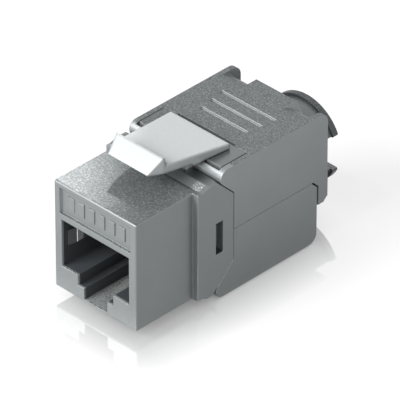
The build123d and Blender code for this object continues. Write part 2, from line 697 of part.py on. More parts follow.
# Contact carrier: a tray over the port, slotted from below for the contact wires
contact_places = [(n - (CONTACT_COUNT - 1) / 2) * CONTACT_PITCH for n in range(CONTACT_COUNT)]
contact_height = bay_top - CONTACT_DROP
tray_front = front + FRONT_WALL + BAY_CLEARANCE
tray_low = port_top + BAY_CLEARANCE
tray_top = bay_top - BAY_CLEARANCE
tray_back = board_front - BAY_CLEARANCE
comb_front = bay_front + 3 * BAY_CLEARANCE
slot_top = contact_height + CONTACT_THICKNESS
slot_floor = (tray_low + contact_height - CONTACT_THICKNESS / 2) / 2
with BuildPart() as contact_carrier:
    with BuildSketch(Plane.XZ.offset(-tray_front)) as tray:
        with Locations((0, (tray_low + tray_top) / 2)):
            Rectangle(NOSE_WIDTH - 2 * NOSE_WALL - 2 * BAY_CLEARANCE, tray_top - tray_low)
    extrude(amount=tray_front - tray_back)
    for x in contact_places:
        with BuildSketch(Plane.YZ.offset(x)) as contact_slot:
            with BuildLine():
                Polyline(
                    (tray_front + 0.5, tray_low),
                    (tray_front + 0.5, slot_top),
                    (tray_back, slot_top),
                    (tray_back, slot_floor),
                    (comb_front, slot_floor),
                    (comb_front, tray_low),
                    close=True,
                )
            make_face()
        extrude(amount=CONTACT_SLOT / 2, both=True, mode=Mode.SUBTRACT)
save(contact_carrier.part, "contact_carrier")

# Contact comb: the port's back wall, which keeps the wires' free ends apart
comb_top = tray_low - FIT
with BuildPart() as contact_comb:
    with BuildSketch(Plane.XZ.offset(-comb_front)) as comb_wall:
        with Locations((0, (bay_low + BAY_CLEARANCE + comb_top) / 2)):
            Rectangle(2 * (bay_side - BAY_CLEARANCE), comb_top - bay_low - BAY_CLEARANCE)
    extrude(amount=comb_front - tray_back)
    for side in (-1, 1):
        with BuildSketch(Plane.YZ.offset(side * (bay_side - BAY_CLEARANCE))) as tooth:
            with Locations((window_middle, nose_low + (WINDOW_LOW + WINDOW_HIGH) / 2)):
                Rectangle(WINDOW_LENGTH / 2, WINDOW_HIGH - WINDOW_LOW - 1.6)
        extrude(amount=side * SIDE_WALL / 2)
    for x in contact_places:
        with BuildSketch(Plane.XZ.offset(-comb_front)) as tip_slot:
            with Locations((x, (nose_low + COMB_LOW + comb_top) / 2)):
                Rectangle(CONTACT_SLOT, comb_top - nose_low - COMB_LOW)
        extrude(amount=-0.7, mode=Mode.SUBTRACT)
save(contact_comb.part, "contact_comb")

# Contact wires: forward along the tray, round its front and back down into the port
for number, x in enumerate(contact_places, start=1):
    with BuildPart() as contact_wire:
        with BuildSketch(Plane.YZ.offset(x)) as contact_profile:
            with BuildLine():
                FilletPolyline(
                    (board_back - 0.3, contact_height),
                    (tray_front + 0.8, contact_height),
                    (tray_front + 1.0, contact_height - 1.15),
                    (comb_front + 0.35, nose_low + CONTACT_TIP),
                    radius=0.4,
                )
            trace(line_width=CONTACT_THICKNESS)
        extrude(amount=CONTACT_WIDTH / 2, both=True)
    save(contact_wire.part, f"contact_wire_{number}")

# Cable terminals: forks in two rows of four, slots to the rear
fork_back = tower_back - 0.3
fork_front = block_back - 1.5
terminal_places = [
    (x * terminal_pitch, collar_axis + row * terminal_row)
    for row in (-1, 1)
    for x in (-1.5, -0.5, 0.5, 1.5)
]
for number, (x, z) in enumerate(terminal_places, start=1):
    with BuildPart() as cable_terminal:
        with BuildSketch(Plane.XY.offset(z - TERMINAL_THICKNESS / 2)) as fork:
            with Locations((x, (fork_front + fork_back) / 2)):
                Rectangle(TERMINAL_WIDTH, fork_back - fork_front)
            with Locations((x, (board_front + 0.2 + fork_front) / 2)):
                Rectangle(TERMINAL_TAIL, fork_front - board_front - 0.2)
            with Locations((x, fork_back - 1.4)):
                Rectangle(TERMINAL_SLOT, 2.8, mode=Mode.SUBTRACT)
            with Locations((x, fork_back)):
                Polygon((-0.5, 0), (0.5, 0), (0, -0.6), align=None, mode=Mode.SUBTRACT)
        extrude(amount=TERMINAL_THICKNESS)
    save(cable_terminal.part, f"cable_terminal_{number}")

# Circuit board
with BuildPart() as circuit_board:
    with BuildSketch(Plane.XZ.offset(-board_front)) as board:
        with Locations((0, (bay_low + bay_top) / 2)):
            Rectangle(2 * (bay_side - 2 * BAY_CLEARANCE), bay_top - bay_low - 4 * BAY_CLEARANCE)
        for x in contact_places:
            with Locations((x, contact_height)):
                Rectangle(CONTACT_WIDTH + 2 * FIT, CONTACT_THICKNESS + 2 * FIT, mode=Mode.SUBTRACT)
        for x, z in terminal_places:
            with Locations((x, z)):
                Rectangle(TERMINAL_TAIL + 2 * FIT, TERMINAL_THICKNESS + 2 * FIT, mode=Mode.SUBTRACT)
    extrude(amount=-BOARD_THICKNESS)
save(circuit_board.part, "circuit_board")

# Terminal block with a tower round each fork
block_height = 2 * terminal_row + TOWER_HEIGHT
with BuildPart() as terminal_block:
    with BuildSketch(Plane.XZ.offset(-board_back)) as block:
        with Locations((0, collar_axis)):
            Rectangle(2 * block_side_inner, block_height)
    extrude(amount=-BLOCK_DEPTH)
    with BuildSketch(Plane.XZ.offset(-block_back)) as towers:
        for x, z in terminal_places:
            with Locations((x, z)):
                Rectangle(TOWER_WIDTH, TOWER_HEIGHT)
    extrude(amount=-TOWER_DEPTH)
    for x, z in terminal_places:
        with BuildSketch(Plane.XY.offset(z - TERMINAL_THICKNESS / 2 - FIT)) as fork_way:
            with Locations((x, (fork_front - FIT + tower_back) / 2)):
                Rectangle(TERMINAL_WIDTH + 2 * FIT, tower_back - fork_front + FIT)
            with Locations((x, (board_back + block_back) / 2)):
                Rectangle(TERMINAL_TAIL + 2 * FIT, BLOCK_DEPTH)
        extrude(amount=TERMINAL_THICKNESS + 2 * FIT, mode=Mode.SUBTRACT)
        with BuildSketch(Plane.YZ.offset(x)) as wire_gap:
            with Locations((tower_back - 1.6, z)):
                Rectangle(3.2, TOWER_HEIGHT)
        extrude(amount=0.45, both=True, mode=Mode.SUBTRACT)
save(terminal_block.part, "terminal_block")

# Wire manager: a cap over the towers with the cable's way in from the rear
manager_height = block_height + 2 * MANAGER_RIM
cable_stop = manager_front + TOWER_DEPTH - 1.2
with BuildPart() as wire_manager:
    with BuildSketch(Plane.XZ.offset(-manager_front)) as cap:
        with Locations((0, collar_axis)):
            Rectangle(2 * (bay_side - BAY_CLEARANCE), manager_height)
    extrude(amount=-MANAGER_LENGTH)
    chamfer(wire_manager.faces().sort_by(Axis.Y)[-1].edges(), length=MANAGER_EDGE)
    with BuildSketch(Plane.XZ.offset(-manager_front)) as tower_pockets:
        for x, z in terminal_places:
            with Locations((x, z)):
                Rectangle(TOWER_WIDTH + 2 * BAY_CLEARANCE, TOWER_HEIGHT + 2 * BAY_CLEARANCE)
    extrude(amount=-(TOWER_DEPTH + BAY_CLEARANCE), mode=Mode.SUBTRACT)
    with BuildSketch(Plane.XZ.offset(-cable_stop)) as cable_way:
        with Locations((0, collar_axis)):
            Circle(MANAGER_BORE)
    extrude(amount=-MANAGER_LENGTH, mode=Mode.SUBTRACT)
    for x, z in terminal_places:
        side = 1 if z > collar_axis else -1
        with BuildSketch(Plane.XZ.offset(-cable_stop)) as conductor_way:
            with Locations((x, collar_axis + side * (terminal_row + TOWER_HEIGHT / 4))):
                Rectangle(CONDUCTOR_WAY, TOWER_HEIGHT + 2 * MANAGER_RIM)
        extrude(amount=-2.2, mode=Mode.SUBTRACT)
save(wire_manager.part, "wire_manager")

# Ground springs: bowed strips along the port's side walls
spring_wall = PORT_WIDTH / 2 - SPRING_THICKNESS / 2 - FIT
spring_front = front + LINER_SETBACK + SPRING_SETBACK
for name, side in (("ground_spring_left", -1), ("ground_spring_right", 1)):
    with BuildPart() as ground_spring:
        with BuildSketch(Plane.XY.offset(port_top - SPRING_DROP - SPRING_HEIGHT / 2)) as spring_strip:
            with BuildLine():
                FilletPolyline(
                    (side * spring_wall, spring_front + SPRING_LENGTH),
                    (side * spring_wall, spring_front + SPRING_LENGTH * 0.78),
                    (side * (spring_wall - SPRING_BOW), spring_front + SPRING_LENGTH * 0.25),
                    (side * spring_wall, spring_front),
                    radius=0.8,
                )
            trace(line_width=SPRING_THICKNESS)
        extrude(amount=SPRING_HEIGHT)
    save(ground_spring.part, name)
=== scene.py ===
# %% [markdown]
# # A shielded keystone jack
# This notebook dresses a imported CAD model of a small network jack: a die-cast metal
# case with a port in front, two jaws that close round the cable at the rear, and a
# rocking latch on top. The CAD solids already have the right shapes and move on their
# own joints, so the work here is finish, small parts, light and camera.
#
# Every object is in metres and shares the CAD frame: +X is the width, +Y runs from the
# port to the cable, and +Z is up.

# %% Load the frame
import math

import bpy
import bmesh
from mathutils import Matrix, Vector


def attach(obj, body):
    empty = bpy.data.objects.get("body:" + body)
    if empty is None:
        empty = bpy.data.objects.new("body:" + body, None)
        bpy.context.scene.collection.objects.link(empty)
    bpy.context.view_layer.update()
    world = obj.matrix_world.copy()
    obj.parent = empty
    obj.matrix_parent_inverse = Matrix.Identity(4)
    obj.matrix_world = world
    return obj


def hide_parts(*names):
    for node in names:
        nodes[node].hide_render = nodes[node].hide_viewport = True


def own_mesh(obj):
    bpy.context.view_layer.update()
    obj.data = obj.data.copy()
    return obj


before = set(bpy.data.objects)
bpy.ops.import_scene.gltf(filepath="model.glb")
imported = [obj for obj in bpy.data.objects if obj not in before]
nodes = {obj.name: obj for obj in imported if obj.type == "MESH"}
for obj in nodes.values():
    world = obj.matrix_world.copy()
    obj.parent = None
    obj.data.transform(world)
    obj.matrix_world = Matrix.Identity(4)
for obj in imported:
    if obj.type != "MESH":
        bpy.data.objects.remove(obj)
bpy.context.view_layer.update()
MM = 0.001

# %% [markdown]
# ## The camera
# The photograph was taken from the front right, well above the jack, through a very
# long lens: its parallel edges stay parallel. A camera 0.8 m away with a 570 mm lens
# gives that look. The three directions below came from fitting the jack's own edges. One
# point of the jack whose pixel is known then gives the point that the camera aims at.

# %% Camera
VIEW_BACK = Vector((0.5791, -0.5841, 0.5687)).normalized()
VIEW_RIGHT = Vector((0.7101, 0.7041, 0.0)).normalized()
VIEW_UP = VIEW_BACK.cross(VIEW_RIGHT)
PIXELS_PER_MM = 7.9255
FRAME_PIXELS = 400
CAMERA_DISTANCE = 0.8
SENSOR_WIDTH = 36

known_point = Vector((0.0, -2.0, 10.4)) * MM
known_pixel = (191.2, 194.62)
to_middle = [(FRAME_PIXELS / 2 - pixel) / PIXELS_PER_MM * MM for pixel in known_pixel]
aim = known_point + VIEW_RIGHT * to_middle[0] - VIEW_UP * to_middle[1]
camera_data = bpy.data.cameras.new("camera")
camera_data.sensor_width = SENSOR_WIDTH
camera_data.lens = SENSOR_WIDTH * CAMERA_DISTANCE / (FRAME_PIXELS / PIXELS_PER_MM * MM)
camera_data.clip_start = 0.01
camera = bpy.data.objects.new("camera", camera_data)
camera.location = aim + VIEW_BACK * CAMERA_DISTANCE
camera.rotation_euler = VIEW_BACK.to_track_quat("Z", "Y").to_euler()
bpy.context.scene.collection.objects.link(camera)
bpy.context.scene.camera = camera
bpy.context.scene.view_settings.view_transform = "Standard"
print("lens in mm:", round(camera_data.lens, 1))

# %% [markdown]
# ## Helpers for materials
# Colours are written as sRGB hex values, so they need turning to the linear values that
# a shader works with. The other helpers add a node with its settings and its links,
# start a material, make the masks and mixes that every finish uses, and give a material
# to CAD pieces, which keeps each finish below short enough to read.


# %% Material helpers
def linear(hex_colour):
    """Linear RGBA for a shader from an sRGB hex colour such as 9aa0a0."""
    channels = [int(hex_colour[i : i + 2], 16) / 255 for i in (0, 2, 4)]
    return [c / 12.92 if c <= 0.04045 else ((c + 0.055) / 1.055) ** 2.4 for c in channels] + [1.0]


def add_node(tree, kind, inputs=None, **settings):
    """Add one node, set its properties and fill its inputs with values or other sockets."""
    node = tree.nodes.new(kind)
    for key, value in settings.items():
        setattr(node, key, value)
    for key, value in (inputs or {}).items():
        if isinstance(value, bpy.types.NodeSocket):
            tree.links.new(value, node.inputs[key])
        else:
            node.inputs[key].default_value = value
    return node


def math_node(tree, operation, *values):
    """A maths node on one to three numbers or sockets."""
    return add_node(tree, "ShaderNodeMath", dict(enumerate(values)), operation=operation).outputs[0]


def vector_node(tree, operation, *values):
    """The outputs of a vector maths node on one or two vectors or sockets."""
    inputs = dict(enumerate(values))
    return add_node(tree, "ShaderNodeVectorMath", inputs, operation=operation).outputs


def new_material(name, **values):
    """A material with its output and a principled shader whose named inputs are set."""
    material = bpy.data.materials.new(name)
    material.use_nodes = True
    tree = material.node_tree
    tree.nodes.clear()
    shader = add_node(tree, "ShaderNodeBsdfPrincipled")
    for key, value in values.items():
        shader.inputs[key.replace("_", " ").title()].default_value = value
    add_node(tree, "ShaderNodeOutputMaterial", {"Surface": shader.outputs["BSDF"]})
    return material, tree, shader


def separate(tree, vector):
    """The X, Y and Z of a vector."""
    return add_node(tree, "ShaderNodeSeparateXYZ", {0: vector}).outputs


def rise(tree, value, start, end, low=0.0, high=1.0):
    """A number that runs from low to high while a value runs from start to end."""
    return add_node(tree, "ShaderNodeMapRange", {
        "Value": value, "From Min": start, "From Max": end, "To Min": low, "To Max": high,
    }).outputs[0]


def between(tree, value, low_mm, high_mm, soft_mm=0.1):
    """1 where a coordinate lies between two places, with soft ends."""
    up = rise(tree, value, (low_mm - soft_mm) * MM, (low_mm + soft_mm) * MM)
    down = rise(tree, value, (high_mm + soft_mm) * MM, (high_mm - soft_mm) * MM)
    return math_node(tree, "MULTIPLY", up, down)


def noise(tree, size_mm, detail=2.0, roughness=0.5, stretch=(1, 1, 1)):
    """Noise in the piece's own space, with features of a real size in millimetres."""
    place = add_node(tree, "ShaderNodeTexCoord").outputs["Object"]
    if stretch != (1, 1, 1):
        place = add_node(tree, "ShaderNodeMapping", {"Vector": place, "Scale": stretch}).outputs[0]
    values = {
        "Vector": place, "Scale": 1 / (size_mm * MM), "Detail": detail, "Roughness": roughness,
    }
    return add_node(tree, "ShaderNodeTexNoise", values).outputs["Fac"]


def colour_mix(tree, factor, first, second):
    """Blend two colours, each a hex string or a socket, by a number or a socket."""
    values = {"Factor": factor}
    for key, colour in ((6, first), (7, second)):
        values[key] = linear(colour) if isinstance(colour, str) else colour
    return add_node(tree, "ShaderNodeMix", values, data_type="RGBA").outputs[2]


def tint(tree, colour, toward, mask, amount):
    """Pull a colour some way toward another one where a mask is 1."""
    return colour_mix(tree, math_node(tree, "MULTIPLY", mask, amount), colour, toward)


def bump(tree, shader, height, strength, distance_mm, edge_mm=0.0):
    """Let a height pattern tilt the shader's normal, over edges that are worn round."""
    values = {"Height": height, "Strength": strength, "Distance": distance_mm * MM}
    if edge_mm:
        worn = add_node(tree, "ShaderNodeBevel", {"Radius": edge_mm * MM}, samples=8)
        values["Normal"] = worn.outputs[0]
    tree.links.new(add_node(tree, "ShaderNodeBump", values).outputs[0], shader.inputs["Normal"])


def dress(material, *names):
    """Give CAD pieces a material; their meshes stay as packed."""
    for name in names:
        nodes[name].data.materials.clear()
        nodes[name].data.materials.append(material)
    print(material.name, "on", len(names), "pieces")


# %% [markdown]
# ## Blasted, nickel-plated zinc
# The case and the jaws are zinc alloy castings. They are tumbled in steel shot, which
# works best on the broad open tops and leaves fine pits there, and then nickel plated.
# A pit that faces the lamp glints, and one that faces away is dark. The colour paints
# both on a noise grain, as a painted glint and painted shade, so the tops look like
# grainy pewter. The sides, which the shot hits at a slant, stay smooth and flat.
#
# The finish and the colour change from place to place on each casting, and most of the
# colour changes are painted light and shade:
#
# - The sides get a little lighter from the foot to the top: painted shade, darker towards
#   the foot.
# - The open tops are painted darker, as painted shade, and the port's floor lower down is
#   painted lighter, as painted light.
# - The strip under the latch and the neck before the cable flange stay smooth. The strip
#   is so on its right half only, as in the photograph, and burnished there.
# - The flange is painted darker, as painted shade, and the inner flank of the jaws' left
#   wall is painted lighter, as painted light.
# - The ramp in front of the upper hinge is smooth and dull, painted darker as painted shade
#   under the latch, with a painted highlight at each end.
#
# The real pits are about 0.05 mm across, under half a pixel here. They are drawn at
# 0.2 mm, so that the picture keeps their sparkle. The object normal's Z tells the tops
# from the sides, and the object's X, Y and Z mark the other places. All of them belong to
# the piece, so they hold in any view. Edges are worn round by 0.15 mm, which lets the
# thin grooves and rims catch light as lines.

# %% Casting
# A dark colour for painted shade and random tone, a light one for painted light and glints
SHADE_AND_TONE = "505454"
GLINT = "c4c8c8"
# The painted highlight at the ramp's ends
RAMP_END_HIGHLIGHT = "e4e7e7"
GRIT_MM = 0.2
RIGHT_HALF_MM = (0.0, 30.0)
NECK_MM = (14.35, 17.9)
FLANGE_MM = (18.0, 30.0)
OPEN_TOPS_MM = (10.0, 40.0)
INNER_FLANK_MM = (-7.2, -3.0)
RAMP_MM = (-8.3, -6.9)
RAMP_ENDS_MM = (6.1, 7.5)


def blasted_casting(name, hex_low, hex_high, shielded_mm, burnish):
    """Nickel over zinc: pitted where it faces up, smooth elsewhere; painted light and shade."""
    material, tree, shader = new_material(name, metallic=0.5)
    place = add_node(tree, "ShaderNodeTexCoord").outputs
    facing = separate(tree, place["Normal"])
    where = separate(tree, place["Object"])

    def both(first, second):
        return math_node(tree, "MULTIPLY", first, second)

    # Masks for the places listed above
    upward = rise(tree, facing["Z"], 0.7, 0.96)
    under_latch = between(tree, where["Y"], *shielded_mm)
    shield = both(under_latch, between(tree, where["X"], *RIGHT_HALF_MM))
    neck = between(tree, where["Y"], *NECK_MM)
    flange = between(tree, where["Y"], *FLANGE_MM)
    above_port_floor = between(tree, where["Z"], *OPEN_TOPS_MM, soft_mm=1.0)
    faces_right = math_node(tree, "GREATER_THAN", facing["X"], 0.7)
    inner_flank = both(between(tree, where["X"], *INNER_FLANK_MM), faces_right)
    ramp = both(between(tree, where["Y"], *RAMP_MM), upward)
    off_middle = math_node(tree, "ABSOLUTE", where["X"])
    ramp_end_highlight = both(ramp, between(tree, off_middle, *RAMP_ENDS_MM))
    smooth = math_node(tree, "MAXIMUM", shield, neck)
    rough_top = both(upward, math_node(tree, "SUBTRACT", 1.0, smooth))
    burnished = both(both(shield, math_node(tree, "SUBTRACT", upward, ramp)), burnish)

    # Grain of the blasted tops, which carries a painted glint and painted shade
    grit = noise(tree, GRIT_MM, roughness=0.6)
    glint = rise(tree, grit, 0.54, 0.66)
    pit_shade = rise(tree, grit, 0.47, 0.36)

    # Colour of the smooth sides, of the pitted tops, and of the ramp
    # Painted shade: the smooth sides darker towards the foot, lighter towards the top
    flat = colour_mix(tree, rise(tree, where["Z"], 1 * MM, 18 * MM), hex_low, hex_high)
    flat = tint(tree, flat, SHADE_AND_TONE, noise(tree, 5.0), 0.2)
    # Painted shade on the flange
    flat = tint(tree, flat, SHADE_AND_TONE, flange, 1.0)
    # Painted light on the inner flank of the jaws' left wall
    flat = tint(tree, flat, GLINT, inner_flank, 0.5)
    # Painted light on the port's low floor, painted shade on the open tops higher up
    port_floor_painted_light = colour_mix(tree, 0.35, flat, GLINT)
    open_top_painted_shade = colour_mix(tree, 0.6, flat, SHADE_AND_TONE)
    pitted = colour_mix(tree, above_port_floor, port_floor_painted_light, open_top_painted_shade)
    # Painted shade on grains that face away from the lamp, a painted glint on those that face it
    pitted = tint(tree, pitted, SHADE_AND_TONE, pit_shade, 0.8)
    pitted = tint(tree, pitted, GLINT, glint, 0.26)
    colour = colour_mix(tree, rough_top, flat, pitted)
    # Painted shade on the ramp, darker under the latch
    colour = tint(tree, colour, SHADE_AND_TONE, ramp, 0.3)
    # Painted highlight at each end of the ramp, flecked by the grain
    colour = colour_mix(tree, ramp_end_highlight, colour, colour_mix(tree, glint, hex_high, RAMP_END_HIGHLIGHT))
    tree.links.new(colour, shader.inputs["Base Color"])

    # Sheen and relief
    rough = math_node(tree, "MULTIPLY_ADD", rough_top, 0.12, 0.4)
    rough = math_node(tree, "MULTIPLY_ADD", burnished, -0.12, rough)
    tree.links.new(rough, shader.inputs["Roughness"])
    metal = math_node(tree, "MULTIPLY_ADD", burnished, 0.4, 0.5)
    tree.links.new(metal, shader.inputs["Metallic"])
    relief = both(grit, math_node(tree, "MULTIPLY_ADD", rough_top, 0.9, 0.1))
    bump(tree, shader, relief, 0.4, 0.05, edge_mm=0.15)
    return material


case_casting = blasted_casting("blasted zinc, case", "7b7f80", "828687", (-8.6, 0.8), 1.0)
jaw_casting = blasted_casting("blasted zinc, jaws", "757979", "8c9091", (-6.0, -2.7), 0.1)
dress(case_casting, "front_housing")
dress(jaw_casting, "upper_jaw", "lower_jaw")

# %% [markdown]
# ## Satin nickel latch
# The latch is the one piece that a thumb polishes. It is cast in a smoother mould and
# has the same plating, so it is lighter and its reflections are tighter. Its sides and
# the front of its lip are painted darker, as painted shade. Its edges are worn
# round: a bevel of the shading normal over 0.45 mm softens them, which the eye reads as
# a rounder edge than the solid's own.

# %% Latch
satin, satin_tree, satin_shader = new_material("satin nickel", metallic=0.3, roughness=0.42)
satin_grain = noise(satin_tree, 0.35)
satin_facing = separate(satin_tree, add_node(satin_tree, "ShaderNodeTexCoord").outputs["Normal"])
# Painted shade: the front of the lip and the sides darker than the top
lip_front = rise(satin_tree, satin_facing["Y"], -0.2, -0.6)
sideways = rise(satin_tree, math_node(satin_tree, "ABSOLUTE", satin_facing["X"]), 0.5, 0.95)
latch_grain_and_shade = colour_mix(satin_tree, satin_grain, "bfc2c2", "cacdcd")
latch_grain_and_shade = colour_mix(satin_tree, lip_front, latch_grain_and_shade, "a3a7a7")
latch_grain_and_shade = colour_mix(satin_tree, sideways, latch_grain_and_shade, "a3a7a8")
satin_tree.links.new(latch_grain_and_shade, satin_shader.inputs["Base Color"])
bump(satin_tree, satin_shader, satin_grain, 0.1, 0.03, edge_mm=0.45)
dress(satin, "latch_lever")

# %% [markdown]
# ## Steel pins and springs
# The pins are turned from bright bar and the springs are cut from rolled strip. Both
# show fine lines along one direction: round the pins, along the strips. A stretched
# noise draws these lines. A spring's crest is drawn lighter, as a painted highlight.


# %% Steel
def lined_steel(name, hex_dark, hex_light, roughness, stretch, metallic=1.0):
    """Bright steel with fine lines of tooling."""
    material, tree, shader = new_material(name, metallic=metallic, roughness=roughness)
    lines = noise(tree, 0.08, detail=3.0, stretch=stretch)
    tree.links.new(colour_mix(tree, lines, hex_dark, hex_light), shader.inputs["Base Color"])
    bump(tree, shader, lines, 0.15, 0.01)
    return material


ROUND_THE_PINS = (1, 0.1, 0.1)
ALONG_THE_STRIPS = (0.1, 0.1, 1)
turned_steel = lined_steel("turned stainless pin", "a8aaac", "c4c6c8", 0.25, ROUND_THE_PINS)
rolled_steel = lined_steel(
    "rolled stainless spring strip", "64676a", "7a7d80", 0.4, ALONG_THE_STRIPS, metallic=0.7
)
# Painted highlight: the spring's crest lighter than the strip
crest_steel_highlight = lined_steel(
    "stainless spring crest, painted highlight", "b4b6b8", "cfd1d3", 0.3, ALONG_THE_STRIPS, metallic=0.6
)
dress(turned_steel, "upper_hinge_pin", "lower_hinge_pin", "latch_pin")
dress(rolled_steel, "ground_spring_left", "ground_spring_right")

# %% [markdown]
# ## Gold-plated contacts
# The plug contacts and the cable terminals are punched from phosphor bronze and gold
# plated over nickel. Punching leaves them a little matt, and gold keeps its colour in
# its reflections, so the shader is fully metallic.

# %% Contacts
gold, gold_tree, gold_shader = new_material("gold-plated bronze", metallic=1.0, roughness=0.28)
gold_grain = noise(gold_tree, 0.1)
gold_tree.links.new(
    colour_mix(gold_tree, gold_grain, "d0a653", "e3c072"), gold_shader.inputs["Base Color"]
)
bump(gold_tree, gold_shader, gold_grain, 0.1, 0.01)
contact_names = [f"contact_wire_{n}" for n in range(1, 9)]
terminal_names = [f"cable_terminal_{n}" for n in range(1, 9)]
dress(gold, *contact_names, *terminal_names)

# %% [markdown]
# ## Moulded plastics
# The port's liner, the contact carrier and the terminal block are black glass-filled
# nylon, which takes a fine grain from its mould. The wire manager is off-white
# polycarbonate, and smoother. One function makes both: a colour that hardly varies, and
# a fine grain that shows in the roughness more than in the colour.


# %% Plastics
def moulded(name, hex_dark, hex_light, grain_mm, low_rough, high_rough):
    """Moulded plastic with a fine grain."""
    material, tree, shader = new_material(name)
    grain = noise(tree, grain_mm, detail=2.0)
    tree.links.new(colour_mix(tree, grain, hex_dark, hex_light), shader.inputs["Base Color"])
    rough = math_node(tree, "MULTIPLY_ADD", grain, high_rough - low_rough, low_rough)
    tree.links.new(rough, shader.inputs["Roughness"])
    bump(tree, shader, grain, 0.2, 0.02)
    return material


black_nylon = moulded("black glass-filled nylon", "2e3134", "3c4044", 0.12, 0.35, 0.6)
white_polycarbonate = moulded("off-white polycarbonate", "d2d1cb", "e2e1dc", 0.4, 0.3, 0.45)
dress(black_nylon, "port_liner", "contact_carrier", "contact_comb", "terminal_block")
dress(white_polycarbonate, "wire_manager")

# %% [markdown]
# ## Circuit board
# The board is fibreglass under a green solder mask. Its weave shows as a faint grid at
# 0.5 mm, and the mask is glossy.

# %% Board
WEAVE_MM = 0.5
board, board_tree, board_shader = new_material("green solder mask", roughness=0.22)
board_place = add_node(board_tree, "ShaderNodeTexCoord").outputs["Object"]
weave = add_node(board_tree, "ShaderNodeTexBrick", {
    "Vector": board_place, "Scale": 1 / (WEAVE_MM * MM), "Mortar Size": 0.04,
    "Color1": linear("0f4a28"), "Color2": linear("124f2c"), "Mortar": linear("0b3c20"),
})
board_tree.links.new(weave.outputs["Color"], board_shader.inputs["Base Color"])
bump(board_tree, board_shader, weave.outputs["Fac"], 0.1, 0.01)
dress(board, "circuit_board")

# %% [markdown]
# ## Raised pads
# Three kinds of small raised pad are too fine for the CAD model.
#
# - The recess above the port has a row of six plain moulded bars, which catch the light.
# - Each spring in the port has a raised crest, drawn lighter as a painted highlight.
# - The wire manager has a printed pad beside each way for a conductor, in the four
#   colours that network cables use: full colour above, and the pale tint that stands for
#   the striped wires below.
#
# All of them are one shape: a flat foot, extruded, with its top scaled in, because a
# moulded or pressed pad has drafted sides. One Geometry Nodes group makes a row of them
# with named inputs for the count, the pitch, the sizes and the way that the row faces.
# The result is turned into a plain mesh, because a rider needs its own faces.

# %% Node group for a row of pads
PAD_INPUTS = {
    "Count": ("NodeSocketInt", 1),
    "Pitch": ("NodeSocketFloat", 0.0),
    "Middle": ("NodeSocketVector", (0.0, 0.0, 0.0)),
    "Turn": ("NodeSocketVector", (0.0, 0.0, 0.0)),
    "Width": ("NodeSocketFloat", 1.0 * MM),
    "Height": ("NodeSocketFloat", 2.0 * MM),
    "Rise": ("NodeSocketFloat", 0.2 * MM),
    "Draft": ("NodeSocketFloat", 0.8),
}
WELD_MM = 0.001

pad_tree = bpy.data.node_groups.new("row of pads", "GeometryNodeTree")
pad_tree.interface.new_socket("Geometry", in_out="OUTPUT", socket_type="NodeSocketGeometry")
for label, (kind, value) in PAD_INPUTS.items():
    socket = pad_tree.interface.new_socket(label, in_out="INPUT", socket_type=kind)
    socket.default_value = value
pad_in = add_node(pad_tree, "NodeGroupInput").outputs

# A line of points, centred on the middle
steps = math_node(pad_tree, "SUBTRACT", pad_in["Count"], 1.0)
span = math_node(pad_tree, "MULTIPLY", steps, pad_in["Pitch"])
first_x = math_node(pad_tree, "MULTIPLY", span, -0.5)
offset = add_node(pad_tree, "ShaderNodeCombineXYZ", {"X": first_x}).outputs[0]
start = vector_node(pad_tree, "ADD", offset, pad_in["Middle"])[0]
step = add_node(pad_tree, "ShaderNodeCombineXYZ", {"X": pad_in["Pitch"]}).outputs[0]
points = add_node(pad_tree, "GeometryNodeMeshLine", {
    "Count": pad_in["Count"], "Start Location": start, "Offset": step,
}).outputs[0]

# One closed pad: foot, drafted sides and top, and underside
foot = add_node(pad_tree, "GeometryNodeMeshGrid", {
    "Size X": pad_in["Width"], "Size Y": pad_in["Height"], "Vertices X": 2, "Vertices Y": 2,
}).outputs[0]
raised = add_node(pad_tree, "GeometryNodeExtrudeMesh", {
    "Mesh": foot, "Offset Scale": pad_in["Rise"],
}).outputs
drafted = add_node(pad_tree, "GeometryNodeScaleElements", {
    "Geometry": raised["Mesh"], "Selection": raised["Top"], "Scale": pad_in["Draft"],
}).outputs[0]
underside = add_node(pad_tree, "GeometryNodeFlipFaces", {"Mesh": foot}).outputs[0]
joined = add_node(pad_tree, "GeometryNodeJoinGeometry")
pad_tree.links.new(drafted, joined.inputs[0])
pad_tree.links.new(underside, joined.inputs[0])
closed = add_node(pad_tree, "GeometryNodeMergeByDistance", {
    "Geometry": joined.outputs[0], "Distance": WELD_MM * MM,
}).outputs[0]

# A pad on each point
row = add_node(pad_tree, "GeometryNodeInstanceOnPoints", {
    "Points": points, "Instance": closed, "Rotation": pad_in["Turn"],
}).outputs[0]
row = add_node(pad_tree, "GeometryNodeRealizeInstances", {"Geometry": row}).outputs[0]
add_node(pad_tree, "NodeGroupOutput", {"Geometry": row})


# %% Pads
def grow(name, tree, values, material, body):
    """Run a node tree on an empty mesh with the given inputs and keep the result as a piece."""
    holder = bpy.data.objects.new(name + "_holder", bpy.data.meshes.new(name + "_holder"))
    bpy.context.scene.collection.objects.link(holder)
    modifier = holder.modifiers.new("grow", "NODES")
    modifier.node_group = tree
    for item in tree.interface.items_tree:
        if item.in_out == "INPUT" and item.name in values:
            modifier[item.identifier] = values[item.name]
    bpy.context.view_layer.update()
    evaluated = holder.evaluated_get(bpy.context.evaluated_depsgraph_get())
    mesh = bpy.data.meshes.new_from_object(evaluated)
    bpy.data.objects.remove(holder)
    piece = bpy.data.objects.new(name, mesh)
    bpy.context.scene.collection.objects.link(piece)
    mesh.materials.clear()
    mesh.materials.append(material)
    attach(piece, body)
    print(name, "has", len(mesh.polygons), "faces")


